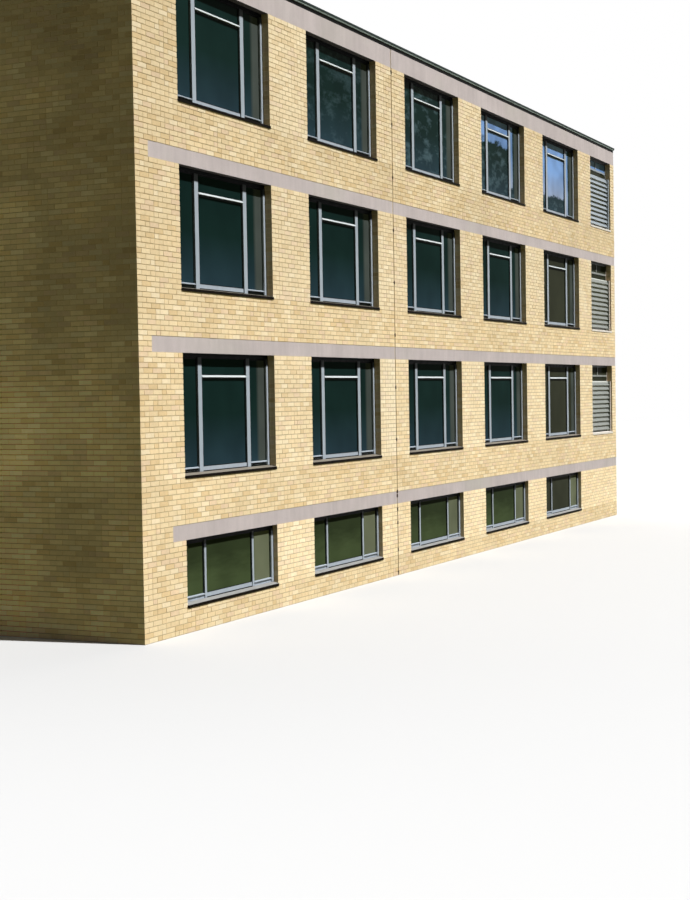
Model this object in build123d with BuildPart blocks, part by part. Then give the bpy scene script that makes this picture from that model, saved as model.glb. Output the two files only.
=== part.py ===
from build123d import *
import os

# School building: a brick block with a basement and three upper storeys, five window bays and a
# narrow louvred bay. Millimetres, +Z up. The front faces -Y, and the origin is at ground level
# under the middle of the block.

# Brickwork: a concrete band is as high as three courses, and plinth, windows and spandrels are
# whole numbers of courses
band_height = 250
plinth_course_count = 5
basement_window_course_count = 13
window_course_count = 24
spandrel_course_count = 9
roof_beam_height = 380
wall_thickness = 365

# Plan, along the front from the west corner
building_depth = 12240
first_pier = 1250
bay = 4500
bay_count = 5
window_width = 3070
louvre_pier = 1160
louvre_width = 2020
west_bay_count = 2
joint_width = 40
joint_offset = 45
ground_band_setback = 865

# Floors and roof
basement_floor_thickness = 200
roof_slab_thickness = 200
roof_covering_thickness = 150
roof_edge_packing = 70
roof_edge_height = 30
roof_edge_overhang = 25
flashing_height = 35
flashing_overhang = 35
roof_edge_inner_lip = 30

# Windows
window_recess = 140
basement_window_recess = 100
frame_depth = 80
stile_width = 85
head_rail_height = 60
bottom_rail_height = 80
side_rail_height = 25
mullion_width = 140
basement_mullion_width = 75
mullion_offset = 800
transom_height = 45
transom_drop = 375
glass_thickness = 24
glass_inset = 15

# Sills
sill_back_height = 60
sill_front_height = 33
sill_overhang = 20
sill_lip_drop = 15
sill_lip_thickness = 5

# Louvres: a glazed frame, and before its tall pane a panel of slats between two rails
louvre_frame_width = 50
louvre_transom_drop = 300
louvre_recess = 35
louvre_rail_width = 90
louvre_panel_drop = 460
louvre_panel_foot = 40
slat_count = 11
slat_depth = 125
slat_thickness = 10
slat_tilt = 66

# Movement joint strip
joint_strip_inset = 10
joint_strip_depth = 30

# Levels
upper_storeys = ["ground", "first", "second"]
storeys = ["basement"] + upper_storeys
course = band_height / 3
spandrel_height = spandrel_course_count * course
storey_height = band_height + spandrel_height + window_course_count * course
plinth_height = plinth_course_count * course
basement_head = plinth_height + basement_window_course_count * course
heads = {name: basement_head + storey_height * n for n, name in enumerate(storeys)}
bases = {"basement": 0}
sills = {"basement": plinth_height}
for below, name in zip(storeys, upper_storeys):
    bases[name] = heads[below] + band_height
    sills[name] = bases[name] + spandrel_height
eaves = heads[storeys[-1]] + roof_beam_height

# Positions along X
far_pier = wall_thickness
last_window_end = first_pier + bay * (bay_count - 1) + window_width
building_length = last_window_end + louvre_pier + louvre_width + far_pier
west = -building_length / 2
east = building_length / 2
window_starts = [west + first_pier + bay * n for n in range(bay_count)]
louvre_start = west + last_window_end + louvre_pier
joint_middle = window_starts[west_bay_count] - (bay - window_width) / 2 + joint_offset
joint_west = joint_middle - joint_width / 2
joint_east = joint_middle + joint_width / 2
inner_west = west + wall_thickness
inner_east = east - wall_thickness
inner_depth = building_depth - 2 * wall_thickness
faces = ["front", "rear"]


def facade_plane(face, inset):
    """The upright plane that lies inset behind the outer face of the front or rear wall."""
    outward = building_depth / 2 - inset
    return Plane.XZ.offset(outward if face == "front" else -outward)


def inward(face, thickness):
    """The extrusion from a facade plane that goes into the building."""
    return -thickness if face == "front" else thickness


def panel(left, right, bottom, top, mode=Mode.ADD):
    """An upright rectangle of a facade sketch, given by its edges."""
    with Locations(((left + right) / 2, (bottom + top) / 2)):
        Rectangle(right - left, top - bottom, mode=mode)


def recess_of(storey):
    return basement_window_recess if storey == "basement" else window_recess


def window_lights(start, storey):
    """The glazed lights of one window: left, right, bottom and top of each."""
    half_mullion = (basement_mullion_width if storey == "basement" else mullion_width) / 2
    middle = start + window_width / 2
    bottom = sills[storey] + sill_back_height + bottom_rail_height
    side_bottom = sills[storey] + sill_back_height + side_rail_height
    top = heads[storey] - head_rail_height
    inner_left = middle - mullion_offset + half_mullion
    inner_right = middle + mullion_offset - half_mullion
    lights = [
        (start + stile_width, middle - mullion_offset - half_mullion, side_bottom, top),
        (middle + mullion_offset + half_mullion, start + window_width - stile_width, side_bottom, top),
    ]
    if storey == "basement":
        lights.append((inner_left, inner_right, bottom, top))
    else:
        transom = heads[storey] - transom_drop
        lights.append((inner_left, inner_right, bottom, transom - transom_height / 2))
        lights.append((inner_left, inner_right, transom + transom_height / 2, top))
    return lights


def louvre_lights(storey):
    """The panes of one louvred opening: a tall one behind the slats and two top lights."""
    left = louvre_start + louvre_frame_width
    right = louvre_start + louvre_width - louvre_frame_width
    middle = louvre_start + louvre_width / 2
    half_bar = louvre_frame_width / 2
    bottom = sills[storey] + sill_back_height + louvre_frame_width
    transom = heads[storey] - louvre_transom_drop
    top = heads[storey] - louvre_frame_width
    return [
        (left, right, bottom, transom - half_bar),
        (left, middle - half_bar, transom + half_bar, top),
        (middle + half_bar, right, transom + half_bar, top),
    ]


# Side walls: the west gable runs out to both faces, the east one stands between the long walls
with BuildPart() as west_wall:
    with BuildSketch():
        with Locations(((west + inner_west) / 2, 0)):
            Rectangle(wall_thickness, building_depth)
    extrude(amount=eaves)
west_wall.part.label = "west_wall"

with BuildPart() as east_wall:
    with BuildSketch():
        with Locations(((inner_east + east) / 2, 0)):
            Rectangle(wall_thickness, inner_depth)
    extrude(amount=eaves)
east_wall.part.label = "east_wall"


def long_wall(face, storey):
    """One storey of a long wall: spandrel and piers, with the windows open up to the band."""
    with BuildPart() as wall:
        for left, right in [(inner_west, joint_west), (joint_east, east)]:
            with BuildSketch(facade_plane(face, 0)):
                panel(left, right, bases[storey], heads[storey])
                if storey == "basement" and left == inner_west:
                    panel(left, west + ground_band_setback, heads[storey], bases["ground"])
                for start in window_starts:
                    if left < start < right:
                        panel(start, start + window_width, sills[storey], heads[storey], Mode.SUBTRACT)
                if storey != "basement" and left < louvre_start < right:
                    louvre_end = louvre_start + louvre_width
                    panel(louvre_start, louvre_end, sills[storey], heads[storey], Mode.SUBTRACT)
            extrude(amount=inward(face, wall_thickness))
    wall.part.label = f"{face}_wall_{storey}"
    return wall.part


def concrete_band(label, start, bottom, height):
    """The floor edges that show as bands over the windows, on both long sides."""
    with BuildPart() as band:
        for face in faces:
            for left, right in [(start, joint_west), (joint_east, east)]:
                with BuildSketch(facade_plane(face, 0)):
                    panel(left, right, bottom, bottom + height)
                extrude(amount=inward(face, wall_thickness))
    band.part.label = label
    return band.part


def slab(label, bottom, thickness):
    """A floor or roof slab between the walls, in two halves either side of the movement joint."""
    with BuildPart() as floor:
        with BuildSketch(Plane.XY.offset(bottom)):
            for left, right in [(inner_west, joint_west), (joint_east, inner_east)]:
                with Locations(((left + right) / 2, 0)):
                    Rectangle(right - left, inner_depth)
        extrude(amount=thickness)
    floor.part.label = label
    return floor.part


def joint_strip(face):
    """The strip that closes the movement joint from the ground to the roof edge."""
    with BuildPart() as strip:
        with BuildSketch(facade_plane(face, joint_strip_inset)):
            panel(joint_west, joint_east, 0, eaves)
        extrude(amount=inward(face, joint_strip_depth))
    strip.part.label = f"{face}_joint_strip"
    return strip.part


def window_frames(face, storey):
    """The frames of one row of windows, each with two mullions and, upstairs, a transom."""
    with BuildPart() as frames:
        with BuildSketch(facade_plane(face, recess_of(storey))):
            for start in window_starts:
                panel(start, start + window_width, sills[storey] + sill_back_height, heads[storey])
                for left, right, bottom, top in window_lights(start, storey):
                    panel(left, right, bottom, top, Mode.SUBTRACT)
        extrude(amount=inward(face, frame_depth))
    frames.part.label = f"{face}_frames_{storey}"
    return frames.part


def window_glass(face, storey):
    """The panes of one storey, with those of its louvred opening."""
    with BuildPart() as glass:
        with BuildSketch(facade_plane(face, recess_of(storey) + glass_inset)):
            for start in window_starts:
                for left, right, bottom, top in window_lights(start, storey):
                    panel(left, right, bottom, top)
            if storey != "basement":
                for left, right, bottom, top in louvre_lights(storey):
                    panel(left, right, bottom, top)
        extrude(amount=inward(face, glass_thickness))
    glass.part.label = f"{face}_glass_{storey}"
    return glass.part


def window_sills(face):
    """Every sill of one long side: a sloping top with a lip that hangs before the wall."""
    side = -1 if face == "front" else 1
    outer = side * (building_depth / 2 + sill_overhang)
    lip_back = side * (building_depth / 2 + sill_overhang - sill_lip_thickness)
    with BuildPart() as sill_row:
        for storey in storeys:
            openings = [(start, window_width) for start in window_starts]
            if storey != "basement":
                openings.append((louvre_start, louvre_width))
            base = sills[storey]
            frame_front = side * (building_depth / 2 - recess_of(storey))
            back = frame_front - side * frame_depth
            for start, width in openings:
                with BuildSketch(Plane.YZ.offset(start)):
                    with BuildLine():
                        Polyline(
                            (back, base),
                            (back, base + sill_back_height),
                            (frame_front, base + sill_back_height),
                            (outer, base + sill_front_height),
                            (outer, base - sill_lip_drop),
                            (lip_back, base - sill_lip_drop),
                            (lip_back, base),
                            close=True,
                        )
                    make_face()
                extrude(amount=width)
    sill_row.part.label = f"{face}_sills"
    return sill_row.part


def louvres(face):
    """The louvred frames of the narrow bay, one for each upper storey."""
    side = -1 if face == "front" else 1
    slat_middle = side * (building_depth / 2 - (louvre_recess + window_recess) / 2)
    louvre_end = louvre_start + louvre_width
    west_rail_edge = louvre_start + louvre_rail_width
    east_rail_edge = louvre_end - louvre_rail_width
    with BuildPart() as louvre_row:
        for storey in upper_storeys:
            foot = sills[storey] + sill_back_height
            panel_top = heads[storey] - louvre_panel_drop
            with BuildSketch(facade_plane(face, window_recess)):
                panel(louvre_start, louvre_end, foot, heads[storey])
                for left, right, bottom, top in louvre_lights(storey):
                    panel(left, right, bottom, top, Mode.SUBTRACT)
            extrude(amount=inward(face, frame_depth))
            with BuildSketch(facade_plane(face, louvre_recess)):
                panel(louvre_start, west_rail_edge, foot, panel_top)
                panel(east_rail_edge, louvre_end, foot, panel_top)
            extrude(amount=inward(face, window_recess - louvre_recess))
            first_slat = foot + louvre_panel_foot
            pitch = (panel_top - first_slat) / slat_count
            with BuildSketch(Plane.YZ.offset(west_rail_edge)):
                for n in range(slat_count):
                    with Locations((slat_middle, first_slat + pitch * (n + 0.5))):
                        Rectangle(slat_depth, slat_thickness, rotation=-side * slat_tilt)
            extrude(amount=east_rail_edge - west_rail_edge)
    louvre_row.part.label = f"{face}_louvres"
    return louvre_row.part


# Roof covering: one sheet over both halves of the roof slab
with BuildPart() as roof_covering:
    with BuildSketch(Plane.XY.offset(heads["second"] + roof_slab_thickness)):
        Rectangle(building_length - 2 * wall_thickness, inner_depth)
    extrude(amount=roof_covering_thickness)
roof_covering.part.label = "roof_covering"

# Roof edge: a light strip on recessed packing, and dark metal flashing over it
inner_ring_length = building_length - 2 * (wall_thickness + roof_edge_inner_lip)
inner_ring_width = building_depth - 2 * (wall_thickness + roof_edge_inner_lip)
strip_bottom = eaves + roof_edge_packing
strip_top = strip_bottom + roof_edge_height

with BuildPart() as roof_edge_strip:
    with BuildSketch(Plane.XY.offset(eaves)):
        Rectangle(building_length, building_depth)
        Rectangle(inner_ring_length, inner_ring_width, mode=Mode.SUBTRACT)
    extrude(amount=roof_edge_packing)
    with BuildSketch(Plane.XY.offset(strip_bottom)):
        Rectangle(building_length + 2 * roof_edge_overhang, building_depth + 2 * roof_edge_overhang)
        Rectangle(inner_ring_length, inner_ring_width, mode=Mode.SUBTRACT)
    extrude(amount=roof_edge_height)
roof_edge_strip.part.label = "roof_edge_strip"

with BuildPart() as roof_flashing:
    with BuildSketch(Plane.XY.offset(strip_top)):
        Rectangle(building_length + 2 * flashing_overhang, building_depth + 2 * flashing_overhang)
        Rectangle(inner_ring_length, inner_ring_width, mode=Mode.SUBTRACT)
    extrude(amount=flashing_height)
roof_flashing.part.label = "roof_flashing"

pieces = [west_wall.part, east_wall.part]
for face in faces:
    for storey in storeys:
        pieces.append(long_wall(face, storey))
        pieces.append(window_frames(face, storey))
        pieces.append(window_glass(face, storey))
    pieces.append(window_sills(face))
    pieces.append(louvres(face))
    pieces.append(joint_strip(face))

pieces.append(concrete_band("ground_band", west + ground_band_setback, heads["basement"], band_height))
pieces.append(concrete_band("first_band", inner_west, heads["ground"], band_height))
pieces.append(concrete_band("second_band", inner_west, heads["first"], band_height))
pieces.append(concrete_band("roof_beam", inner_west, heads["second"], roof_beam_height))

pieces.append(slab("basement_floor", 0, basement_floor_thickness))
pieces.append(slab("ground_floor", heads["basement"], band_height))
pieces.append(slab("first_floor", heads["ground"], band_height))
pieces.append(slab("second_floor", heads["first"], band_height))
pieces.append(slab("roof_slab", heads["second"], roof_slab_thickness))
pieces.append(roof_covering.part)
pieces.append(roof_edge_strip.part)
pieces.append(roof_flashing.part)

os.makedirs("parts", exist_ok=True)
for piece in pieces:
    export_step(piece, f"parts/{piece.label}.step")
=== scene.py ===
import math
import random

import bmesh
import bpy
import numpy as np
from bpy.props import FloatProperty, FloatVectorProperty, IntProperty, PointerProperty
from bpy.types import Operator, Panel, PropertyGroup
from mathutils import Matrix, Vector, noise


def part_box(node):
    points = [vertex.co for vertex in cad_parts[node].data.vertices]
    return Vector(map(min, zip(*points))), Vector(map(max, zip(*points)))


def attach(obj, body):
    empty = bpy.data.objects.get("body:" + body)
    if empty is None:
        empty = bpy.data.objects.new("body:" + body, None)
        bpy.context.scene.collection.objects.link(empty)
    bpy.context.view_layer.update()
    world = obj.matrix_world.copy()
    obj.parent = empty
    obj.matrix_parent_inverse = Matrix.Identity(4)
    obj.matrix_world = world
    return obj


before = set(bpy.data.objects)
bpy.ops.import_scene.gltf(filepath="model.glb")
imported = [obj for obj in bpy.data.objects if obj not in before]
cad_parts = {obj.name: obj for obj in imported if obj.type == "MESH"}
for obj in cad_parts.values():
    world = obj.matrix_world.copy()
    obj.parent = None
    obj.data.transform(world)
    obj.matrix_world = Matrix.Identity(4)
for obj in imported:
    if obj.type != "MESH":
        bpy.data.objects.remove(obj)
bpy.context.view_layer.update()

bl_info = {
    "name": "School Block",
    "version": (1, 0, 0),
    "blender": (4, 5, 0),
    "location": "3D View > Sidebar > School",
    "description": "Dresses a brick school block: brickwork, concrete bands, windows, louvres and roof",
    "category": "Object",
}

# The body of the block, read from the frame
WEST_LOW, WEST_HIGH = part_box("west_wall")
WEST = WEST_LOW[0]
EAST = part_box("east_wall")[1][0]
FRONT = WEST_LOW[1]
REAR = WEST_HIGH[1]
EAVES = WEST_HIGH[2]
WALL = WEST_HIGH[0] - WEST
STOREYS = ["basement", "ground", "first", "second"]
BANDS = ["ground_band", "first_band", "second_band", "roof_beam"]
BAND_OVER = dict(zip(STOREYS, BANDS))
FACES = ["front", "rear"]
FRAME_FIRST, FRAME_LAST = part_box("front_frames_ground")
JOINT_LOW, JOINT_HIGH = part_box("front_joint_strip")
LOUVRE_LOW, LOUVRE_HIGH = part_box("front_louvres")
EDGE_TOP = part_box("roof_edge_strip")[1][2]

# Real sizes that the frame's boxes don't give, in metres
BAY = 4.5
BAY_COUNT = 5
WINDOW_WIDTH = FRAME_LAST[0] - FRAME_FIRST[0] - BAY * (BAY_COUNT - 1)
SILL_BACK = 0.06
STILE = 0.085
HEAD_RAIL = 0.06
BOTTOM_RAIL = 0.08
SIDE_RAIL = 0.025
MULLION = 0.14
BASEMENT_MULLION = 0.075
MULLION_OFFSET = 0.8
TRANSOM_HEIGHT = 0.045
TRANSOM_DROP = 0.375
GLASS_INSET = 0.015
LOUVRE_TRANSOM_DROP = 0.3
LOUVRE_PANEL_DROP = 0.46
LOUVRE_RAIL = 0.09
# Middle and half width of the depth behind the face where the slat above shades each slat; painted lighter
# there
LOUVRE_SHADED_DEPTH, LOUVRE_SHADED_HALF = 0.1165, 0.0185
HEAD_SHADE_START, HEAD_SHADE_FULL = 0.21, 0.18
EDGE_STRIP = 0.03

# Bars and sealing strips of the windows, with dark strips painted as shade: how far they reach into the frame
# and stand before it, and their sizes
SEAT = 0.004
CLEAR_OF_SILL = 0.002
COVER_PROUD = 0.008
# Dark strips painted as shade: beside the mullion covers, over the head rail, under the weather bar and along
# the foot
SHADE_STRIP_PROUD = 0.004
SHADE_STRIP = 0.022
BASEMENT_SHADE_STRIP = 0.012
STILE_COVER_EDGES = (0.012, 0.082)
STILE_COVER_PROUD = 0.02
HEAD_SHADE_STRIP_PROUD = 0.012
SIDE_RAIL_PROUD = 0.003
SASH_RAIL = 0.035
SASH_RAIL_BACK = 0.009
SASH_BACK = 0.007
SASH_SIDE = 0.02
SASH_HEAD = 0.03
DRIP_FRONT, DRIP_TOP_BACK = 0.016, 0.008
DRIP_HEIGHT, DRIP_FRONT_HEIGHT = 0.026, 0.016
WEATHER_BAR_FOOT, WEATHER_BAR_CREST = 0.01, 0.002
WEATHER_BAR_PROUD, WEATHER_BAR_TOP_PROUD = 0.03, 0.012
FOOT_SHADE_PROUD = 0.005
SEAL = 0.016
SEAL_FOOT = 0.012
SEAL_HEAD = 0.02

# Weather on the bricks, with the painted shade of the jambs and the painted shade and light of the gables:
# factors on their tone, and heights and widths in metres
# Painted shade: the bricks of the jambs are darkened by this factor
JAMB_SHADE = 0.55
# Painted shade and light on the gables: a darker overall level, its changes with height, and a painted lit
# patch
GABLE_SHADE = 0.76
GABLE_LIGHT_CHANGES = [(0.5, 5.4, 2.8), (-0.21, 8.3, 10.2), (-0.14, 2.7, 1.9)]
LIT_PATCH_TONE = 0.44
LIT_PATCH_EDGE = (4.55, 4.05)
LIT_PATCH_TOP = (7.4, 7.0)
LIT_PATCH_FADE = (5.2, 4.2)
SPANDREL_TONE, SPANDREL_FALL, SPANDREL_FALL_FROM = 1.03, 0.0275, 4.0
PIER_TONE, PIER_FALL, PIER_FALL_TO = 1.16, 0.03, 7.0
BLEACH, BLEACH_BY_JOINT = 0.16, 0.4
BLEACH_REACH, BLEACH_UNDER_SILL = 1.4, 0.7
LONG_FACE_SPREAD, GABLE_SPREAD = 0.03, 0.09
BRICK_LOOKS = ("tone", "weather", "bleach")

# A joint closer than this share of a header to one in the course below is moved on
TOO_CLOSE = 0.35

GLOSS_OF_GLASS = {"basement": 0.0015, "ground": 0.0015, "first": 0.0015, "second": 0.004}
NOISE_RANGE = (0.3, 0.7)
FIXING_HEIGHTS = [0.06, 0.54, 1.1, 1.38, 1.66]
FIXING_START, FIXING_COUNT, FIXING_COURSES = 1.75, 9, 13
SHEET_WIDTH = 1.0
FLOOR_REACH = 600.0
FLOOR_FADE = (40.0, 150.0)
BEHIND_BLOCK = (0.75, 0.6, 0.28)


def srgb(red, green, blue):
    """A colour written as it looks on a screen, 0 to 255, as linear values."""
    linear = []
    for value in (red, green, blue):
        share = value / 255
        linear.append(share / 12.92 if share <= 0.04045 else ((share + 0.055) / 1.055) ** 2.4)
    return tuple(linear)


def solid(colour):
    return (*colour, 1.0)


# Colours without a setting of their own
PLASTER = solid(srgb(222, 219, 208))
FLOOR_CONCRETE = srgb(168, 166, 160)
GREEN_STAIN = solid(srgb(184, 184, 168))
LOUVRE_SLATS = srgb(136, 139, 134)
# Paler than the rails' own colour: painted light on their shaded side
LOUVRE_RAILS_LIGHTENED = srgb(200, 188, 178)
# A painted sky reflection on the top storey's louvres
SKY_REFLECTION_ON_LOUVRE = solid(srgb(148, 156, 163))
# Painted light: a near-white pane behind the slats lifts the shade in their gaps
BEHIND_LOUVRE_PAINTED_LIGHT = solid(srgb(238, 236, 228))
BASEMENT_SILL = solid(srgb(150, 149, 146))
LOUVRE_SILL = solid(srgb(226, 219, 210))
# A painted reflection of the jamb on the basement panes
BASEMENT_SIDE_REFLECTION = solid(srgb(102, 107, 85))
# Painted reflections, dappled, on the top storey's panes
DAPPLED_REFLECTION = solid(srgb(88, 112, 120))
# A pale sky colour in the painted reflections
PALE_SKY_REFLECTION = solid(srgb(150, 160, 180))
# Near-black packing: painted shade in the gap under the roof edge strip
EDGE_PACKING_SHADE = solid(srgb(12, 12, 11))
RUST = srgb(58, 44, 34)
WHITE = (1.0, 1.0, 1.0, 1.0)
FLOOR_SEEN = (0.62, 0.62, 0.62, 1.0)
FLOOR_LIGHT = (0.117, 0.119, 0.05, 1.0)


def window_starts():
    return [FRAME_FIRST[0] + BAY * n for n in range(BAY_COUNT)]


def frame_box(storey):
    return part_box(f"front_frames_{storey}")


def recess(storey):
    """How far the frames stand behind the brick face."""
    return frame_box(storey)[0][1] - FRONT


def sill_level(storey):
    """The bottom of the window openings, under the sill."""
    return frame_box(storey)[0][2] - SILL_BACK


def head_level(storey):
    return frame_box(storey)[1][2]


COLOUR = {"size": 3, "subtype": "COLOR", "min": 0.0, "max": 1.0}


class SchoolBrickwork(PropertyGroup):
    """Sizes and colours of the facing bricks"""

    course: FloatProperty(
        name="Course", description="Height of a brick and its joint", default=0.25 / 3, min=0.05, max=0.12,
        precision=4, unit="LENGTH")
    height: FloatProperty(
        name="Brick Height", description="Height of a brick without its joint", default=0.071, min=0.04,
        max=0.1, precision=4, unit="LENGTH")
    header: FloatProperty(
        name="Header", description="Length of a brick's end", default=0.117, min=0.08, max=0.15, precision=3,
        unit="LENGTH")
    joint: FloatProperty(
        name="Joint", description="Thickness of the upright joints", default=0.008, min=0.004, max=0.02,
        precision=3, unit="LENGTH")
    relief: FloatProperty(
        name="Relief", description="How far the bricks stand before the mortar", default=0.006, min=0.001,
        max=0.02, precision=4, unit="LENGTH")
    stretcher_share: FloatProperty(
        name="Stretchers", description="Share of bricks laid along the wall", default=0.55, min=0.0, max=1.0,
        subtype="FACTOR")
    seed: IntProperty(name="Seed", description="Start of the brick pattern", default=7)
    cream: FloatVectorProperty(
        name="Cream", description="Colour of most bricks", default=srgb(237, 215, 174), **COLOUR)
    straw: FloatVectorProperty(
        name="Straw", description="Colour of the yellower bricks", default=srgb(234, 210, 167), **COLOUR)
    ochre: FloatVectorProperty(
        name="Ochre", description="Colour of the darkest bricks", default=srgb(226, 199, 153), **COLOUR)
    rose: FloatVectorProperty(
        name="Rose", description="Colour of the pinkish bricks", default=srgb(232, 206, 171), **COLOUR)
    pale: FloatVectorProperty(
        name="Pale", description="Colour of the palest bricks", default=srgb(242, 223, 187), **COLOUR)
    bleached: FloatVectorProperty(
        name="Bleached", description="Colour of whitened bricks", default=srgb(250, 240, 215), **COLOUR)
    mortar: FloatVectorProperty(
        name="Mortar", description="Colour of the joints", default=srgb(214, 191, 151), **COLOUR)


class SchoolFinish(PropertyGroup):
    """Colours of concrete, metal, glass and roof"""

    concrete: FloatVectorProperty(
        name="Concrete", description="Colour of the bands", default=srgb(195, 184, 183), **COLOUR)
    aluminium: FloatVectorProperty(
        name="Aluminium", description="Colour of the window bars", default=srgb(165, 174, 184), **COLOUR)
    # Paler than the aluminium: a painted highlight on the weather bars
    transom: FloatVectorProperty(
        name="Transom", description="Colour of the weather bars on transoms", default=srgb(200, 206, 208),
        **COLOUR)
    # Also the colour of the dark strips painted as shade in the windows
    sash: FloatVectorProperty(
        name="Sash", description="Colour of the dark sashes and seals", default=srgb(12, 17, 13), **COLOUR)
    glass: FloatVectorProperty(
        name="Glass", description="Colour of the panes", default=srgb(19, 39, 36), **COLOUR)
    # A painted reflection at the foot of the panes
    glass_foot_reflection: FloatVectorProperty(
        name="Glass Foot", description="Colour of the panes at the sill", default=srgb(37, 56, 65), **COLOUR)
    # A painted reflection of the jamb along one side of a window
    glass_side_reflection: FloatVectorProperty(
        name="Glass Side", description="Colour along one side of a window", default=srgb(69, 75, 71),
        **COLOUR)
    # A painted reflection on the easternmost panes
    glass_last_reflection: FloatVectorProperty(
        name="Last Window", description="Colour of the easternmost panes", default=srgb(49, 51, 39), **COLOUR)
    # A painted sky reflection on the top storey's panes
    glass_sky_reflection: FloatVectorProperty(
        name="Blue Glass", description="Bluish panes of the top storey", default=srgb(108, 140, 187),
        **COLOUR)
    basement_glass: FloatVectorProperty(
        name="Basement Glass", description="Colour of the lowest panes", default=srgb(57, 68, 43), **COLOUR)
    sill: FloatVectorProperty(
        name="Sill", description="Colour of the sills' tops", default=srgb(132, 125, 114), **COLOUR)
    # The front lip is dark, and painted near-black as the shade under the sill's edge
    sill_lip_shade: FloatVectorProperty(
        name="Sill Lip", description="Colour of the sills' front edge", default=srgb(14, 9, 4), **COLOUR)
    roof_felt: FloatVectorProperty(
        name="Roof Felt", description="Colour of the roof covering", default=srgb(92, 92, 90), **COLOUR)
    flashing: FloatVectorProperty(
        name="Flashing", description="Colour of the roof edge metal", default=srgb(38, 50, 48), **COLOUR)
    edge_strip: FloatVectorProperty(
        name="Edge Strip", description="Colour of the light roof edge strip", default=srgb(134, 146, 142),
        **COLOUR)
    # Painted lighter than the filler's own colour, to lift the shade in the joint's recess
    seal_lightened: FloatVectorProperty(
        name="Seal", description="Colour of the movement joint", default=srgb(217, 198, 171), **COLOUR)


class SchoolStage(PropertyGroup):
    """Camera and light"""

    camera_place: FloatVectorProperty(
        name="Camera", description="Where the camera stands", size=3, subtype="TRANSLATION", unit="LENGTH",
        default=(-32.930, -19.306, 3.812))
    camera_yaw: FloatProperty(
        name="Yaw", description="Turn of the view from the facade's normal", default=math.radians(64.077),
        subtype="ANGLE")
    camera_pitch: FloatProperty(
        name="Pitch", description="How far the view looks down", default=math.radians(2.091), subtype="ANGLE")
    camera_roll: FloatProperty(
        name="Roll", description="Tilt of the picture", default=math.radians(0.943), subtype="ANGLE")
    camera_lens: FloatProperty(
        name="Lens", description="Focal length on a 36 mm tall picture", default=62.27, min=10.0, max=300.0)
    sun_height: FloatProperty(
        name="Sun Height", description="Height of the sun over the ground", default=math.radians(54),
        subtype="ANGLE")
    sun_side: FloatProperty(
        name="Sun Side", description="Turn of the sun from the facade's normal", default=math.radians(9),
        subtype="ANGLE")
    sun_strength: FloatProperty(name="Sun", description="Strength of the key light", default=4.9, min=0.0)
    back_strength: FloatProperty(
        name="Back Light", description="Strength of the light on the far sides", default=2.3, min=0.0)
    fill_strength: FloatProperty(
        name="Fill", description="Strength of the light from all round", default=0.062, min=0.0)


# Meshes

def add_object(name, data):
    """A new object in the scene."""
    made = bpy.data.objects.new(name, data)
    bpy.context.scene.collection.objects.link(made)
    return made


def finish_object(name, mesh, material):
    """Adds a mesh as a piece that rides on the building."""
    piece = add_object(name, mesh)
    mesh.materials.append(material)
    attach(piece, "root")


BOX_FACES = np.array([
    (0, 4, 6, 2), (1, 3, 7, 5),
    (0, 1, 5, 4), (2, 6, 7, 3),
    (0, 2, 3, 1), (4, 5, 7, 6),
])


def box_corners(boxes):
    """Eight corners for each box given as low x, y, z and high x, y, z."""
    boxes = np.asarray(boxes, dtype=np.float64)
    corners = np.empty((len(boxes), 8, 3))
    for corner in range(8):
        for axis, bit in enumerate((4, 2, 1)):
            corners[:, corner, axis] = boxes[:, axis + 3 if corner & bit else axis]
    return corners.reshape(-1, 3)


def mesh_from_boxes(name, boxes, hidden_sides):
    """One mesh of many boxes, each without the side that lies against the wall."""
    faces, owners = [], []
    for number, hidden in enumerate(hidden_sides):
        for side in range(6):
            if side != hidden:
                faces.append(tuple(int(v) for v in BOX_FACES[side] + number * 8))
                owners.append(number)
    mesh = bpy.data.meshes.new(name)
    mesh.from_pydata(box_corners(boxes).tolist(), [], faces)
    mesh.update()
    return mesh, owners


class Joinery:
    """Bars and plates of one piece, with their edges eased."""

    def __init__(self):
        self.bm = bmesh.new()

    def prism(self, face, start, end, section):
        """A bar along X, its section given as (depth behind the brick face, height) points."""
        points = [(FRONT + depth if face == "front" else REAR - depth, height) for depth, height in section]
        first, last = ([self.bm.verts.new((x, y, z)) for y, z in points] for x in (start, end))
        faces = [self.bm.faces.new(first), self.bm.faces.new(last)]
        for n in range(len(points)):
            following = (n + 1) % len(points)
            corners = (first[n], first[following], last[following], last[n])
            faces.append(self.bm.faces.new(corners))
        bmesh.ops.recalc_face_normals(self.bm, faces=faces)

    def bar(self, face, left, right, near, far, bottom, top):
        """A straight bar between the given edges, near and far measured behind the brick face."""
        self.prism(face, left, right, [(near, bottom), (far, bottom), (far, top), (near, top)])

    def piece(self, name, material, slot, ease=0.002):
        bmesh.ops.bevel(self.bm, geom=list(self.bm.edges), offset=ease, segments=1, affect="EDGES")
        mesh = bpy.data.meshes.new(name)
        self.bm.to_mesh(mesh)
        self.bm.free()
        finish_object(name, mesh, material)


# Nodes

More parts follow.
